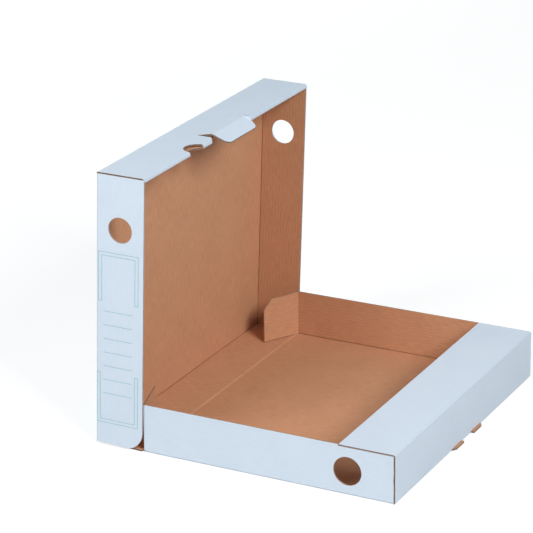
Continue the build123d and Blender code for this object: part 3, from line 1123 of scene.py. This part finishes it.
def creases():
    """The five creases that bend as the box opens and closes."""
    crease(
        "floor_fold",
        "floor_crease",
        Vector((SPINE_AXIS.x, 0, SPINE_AXIS.z)),
        (X, leaned(-X)),
        (-Z, leaned(-Z)),
        low=-TRAY_INNER,
        high=TRAY_INNER,
        run=Y,
        inner_slot=WORN_AND_HIGHLIGHT,
        inner_share=FLOOR_RIDGE,
    )
    crease(
        "lid_fold",
        "lid_crease",
        Vector((LID_AXIS.x, 0, LID_AXIS.z)),
        (leaned(X), leaned(Z)),
        (leaned(-Z), leaned(-X)),
        low=BOARD - LID_HALF,
        high=LID_HALF - BOARD,
        run=Y,
        inner_share=LID_GROOVE,
    )
    droop = Vector((math.cos(TONGUE_DROOP), 0, -math.sin(TONGUE_DROOP)))
    lifted = Vector((math.sin(TONGUE_DROOP), 0, math.cos(TONGUE_DROOP)))
    tongue_axis = JOINTS["tongue_bend"]
    crease(
        "tongue_fold",
        "tongue_crease",
        Vector((tongue_axis.x, 0, tongue_axis.z)),
        (risen(-X), risen(droop)),
        (risen(Z), risen(lifted)),
        low=TONGUE_NEAR,
        high=TONGUE_FAR,
        run=Y,
    )
    for name, side in SIDES:
        axis = JOINTS[f"{name}_flap_fold"]
        along, outward = flap_directions(name, side)
        crease(
            f"{name}_flap_fold",
            f"{name}_flap_crease",
            Vector((axis.x, axis.y, 0)),
            (X, along),
            (side * Y, outward),
            low=FLAP_HINGE_LIFT,
            high=FLAP_TOP,
            run=Z,
            inner_share=FLAP_GROOVE,
        )


def label(name, body, face, bars):
    """Printed lines, each a thin raised bar given by its two corners on the panel's face."""
    bm = bmesh.new()
    for low_u, low_v, high_u, high_v in bars:
        made = bmesh.ops.create_cube(bm, size=1)["verts"]
        scale = Matrix.Diagonal((high_u - low_u, high_v - low_v, LABEL_RISE, 1))
        middle = Matrix.Translation(((low_u + high_u) / 2, (low_v + high_v) / 2, LABEL_RISE / 2))
        bmesh.ops.transform(bm, matrix=middle @ scale, verts=made)
    bmesh.ops.transform(bm, matrix=rest_turn(body) @ face.matrix(), verts=bm.verts[:])
    bmesh.ops.recalc_face_normals(bm, faces=bm.faces[:])
    piece = make_object(name, bm, [INK])
    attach(piece, body)


def bracket(left, right, top, leg_end):
    """Outline of a square bracket: two lines a band apart, joined at the ends of its legs."""
    inward = math.copysign(1, leg_end - top)
    bars = []
    for inset in (0, LABEL_BAND):
        low_u = left + inset
        high_u = right - inset
        bar_top = top + inward * inset
        low_v, high_v = sorted((bar_top, leg_end))
        bars.append((low_u, low_v, low_u + LABEL_LINE, high_v))
        bars.append((high_u - LABEL_LINE, low_v, high_u, high_v))
        low_v, high_v = sorted((bar_top, bar_top + inward * LABEL_LINE))
        bars.append((low_u + LABEL_LINE, low_v, high_u - LABEL_LINE, high_v))
    low_v, high_v = sorted((leg_end, leg_end - inward * LABEL_LINE))
    bars.append((left + LABEL_LINE, low_v, left + LABEL_BAND, high_v))
    bars.append((right - LABEL_BAND, low_v, right - LABEL_LINE, high_v))
    return bars


def label_bars(frames, lines):
    """Bars of one label: bracket frames at its ends and writing lines between them."""
    bars = []
    for ends in frames:
        bars += bracket(*[end * MM for end in ends])
    count, first, pitch, left, right = lines
    for row in range(count):
        level = (first + pitch * row) * MM
        bars.append((left * MM, level, right * MM, level + LABEL_LINE))
    return bars


def labels():
    """Label frames and writing lines on the lid's side walls and on the spine."""
    bars = label_bars(LID_FRAMES, LID_LINES)
    along_top = X + Z * math.tan(FRONT_RISE)
    for name, side in SIDES:
        face = Face((LID_BACK, side * LID_HALF, 0), along_top, Z, side * Y)
        label(f"lid_{name}_label", "lid", face, bars)

    bars = label_bars(SPINE_FRAMES, SPINE_LINES)
    start = LID_HINGE_X + CREASE_REACH
    moved = [(start + a, LID_HALF - d, start + c, LID_HALF - b) for a, b, c, d in bars]
    label("spine_label", "spine", Face((0, 0, 0), X, Y, -Z), moved)


def stage():
    """Plain pale floor, which shows white where nothing shades it."""
    signs = ((-1, -1), (1, -1), (1, 1), (-1, 1))
    corners = [(a * FLOOR_HALF, b * FLOOR_HALF, -FLOOR_DROP) for a, b in signs]
    mesh = bpy.data.meshes.new("floor")
    mesh.from_pydata(corners, [], [(0, 1, 2, 3)])
    floor = bpy.data.objects.new("floor", mesh)
    bpy.context.collection.objects.link(floor)
    material, nodes, links, shader = new_material("floor")
    shader.inputs["Base Color"].default_value = FLOOR_COLOUR
    shader.inputs["Roughness"].default_value = 1
    shader.inputs["Specular IOR Level"].default_value = 0
    shader.inputs["Emission Color"].default_value = (1, 1, 1, 1)
    path = nodes.new("ShaderNodeLightPath")
    seen = path.outputs["Is Camera Ray"]
    for ray in ("Is Glossy Ray", "Is Transmission Ray"):
        either = math_node(nodes, "MAXIMUM")
        links.new(seen, either.inputs[0])
        links.new(path.outputs[ray], either.inputs[1])
        seen = either.outputs[0]
    glow = math_node(nodes, "MULTIPLY")
    glow.inputs[1].default_value = FLOOR_GLOW
    links.new(seen, glow.inputs[0])
    links.new(glow.outputs[0], shader.inputs["Emission Strength"])
    mesh.materials.append(material)


def area_lamp(name, place, size, power):
    """Soft square lamp aimed at the middle of the box."""
    data = bpy.data.lights.new(name, "AREA")
    data.size = size
    data.energy = power
    lamp = bpy.data.objects.new(name, data)
    lamp.location = place
    lamp.rotation_mode = "QUATERNION"
    lamp.rotation_quaternion = (LAMP_AIM - Vector(place)).to_track_quat("-Z", "Y")
    bpy.context.collection.objects.link(lamp)


def lights():
    """Soft studio light: lamps from the right, the near left and low behind, in a pale surround."""
    world = bpy.data.worlds.new("surround")
    world.use_nodes = True
    background = world.node_tree.nodes["Background"]
    background.inputs["Color"].default_value = SURROUND_COLOUR
    background.inputs["Strength"].default_value = SURROUND_STRENGTH
    bpy.context.scene.world = world
    area_lamp("right", place=(2.0, -1.15, 1.75), size=0.9, power=56)
    area_lamp("left", place=(-1.12, -2.4, 1.89), size=1.6, power=53)
    area_lamp("back", place=(-1.6, 1.9, 0.2), size=0.36, power=20)


# Camera fitted to the photo: turn about +Z, height angle, roll, distance and aim
PHOTO_SIDE = 533
FOCAL_PIXELS = 2551
AZIMUTH = math.radians(27.794)
ELEVATION = math.radians(20.766)
ROLL = math.radians(-0.918)
DISTANCE = 2345.8 * MM
AIM_RIGHT = -49.4 * MM
AIM_UP = 39.3 * MM
AIM_CENTRE = Vector((0, 0, 100 * MM))
SENSOR = 36.0
CAMERA_REACH = 30.0


def camera():
    """Camera at the photo's viewing angle."""
    flat_back = Vector((math.sin(AZIMUTH), -math.cos(AZIMUTH), 0))
    back = flat_back * math.cos(ELEVATION) + Z * math.sin(ELEVATION)
    level = Vector((math.cos(AZIMUTH), math.sin(AZIMUTH), 0))
    upright = back.cross(level)
    right = level * math.cos(ROLL) + upright * math.sin(ROLL)
    up = upright * math.cos(ROLL) - level * math.sin(ROLL)
    data = bpy.data.cameras.new("camera")
    data.sensor_width = SENSOR
    data.lens = SENSOR * FOCAL_PIXELS / PHOTO_SIDE
    data.clip_end = CAMERA_REACH
    view = bpy.data.objects.new("camera", data)
    view.rotation_mode = "QUATERNION"
    view.rotation_quaternion = Matrix((right, up, back)).transposed().to_quaternion()
    view.location = AIM_CENTRE + back * DISTANCE + right * AIM_RIGHT + up * AIM_UP
    bpy.context.collection.objects.link(view)
    bpy.context.scene.camera = view


bpy.context.scene.view_settings.view_transform = "Standard"
camera()
lights()
stage()
tray_floor()
tray_walls()
tray_end()
hidden_flaps()
spine()
lid_back()
lid_walls()
lid_top()
lid_lining()
lid_flaps()
tongue()
corner_flaps()
creases()
labels()
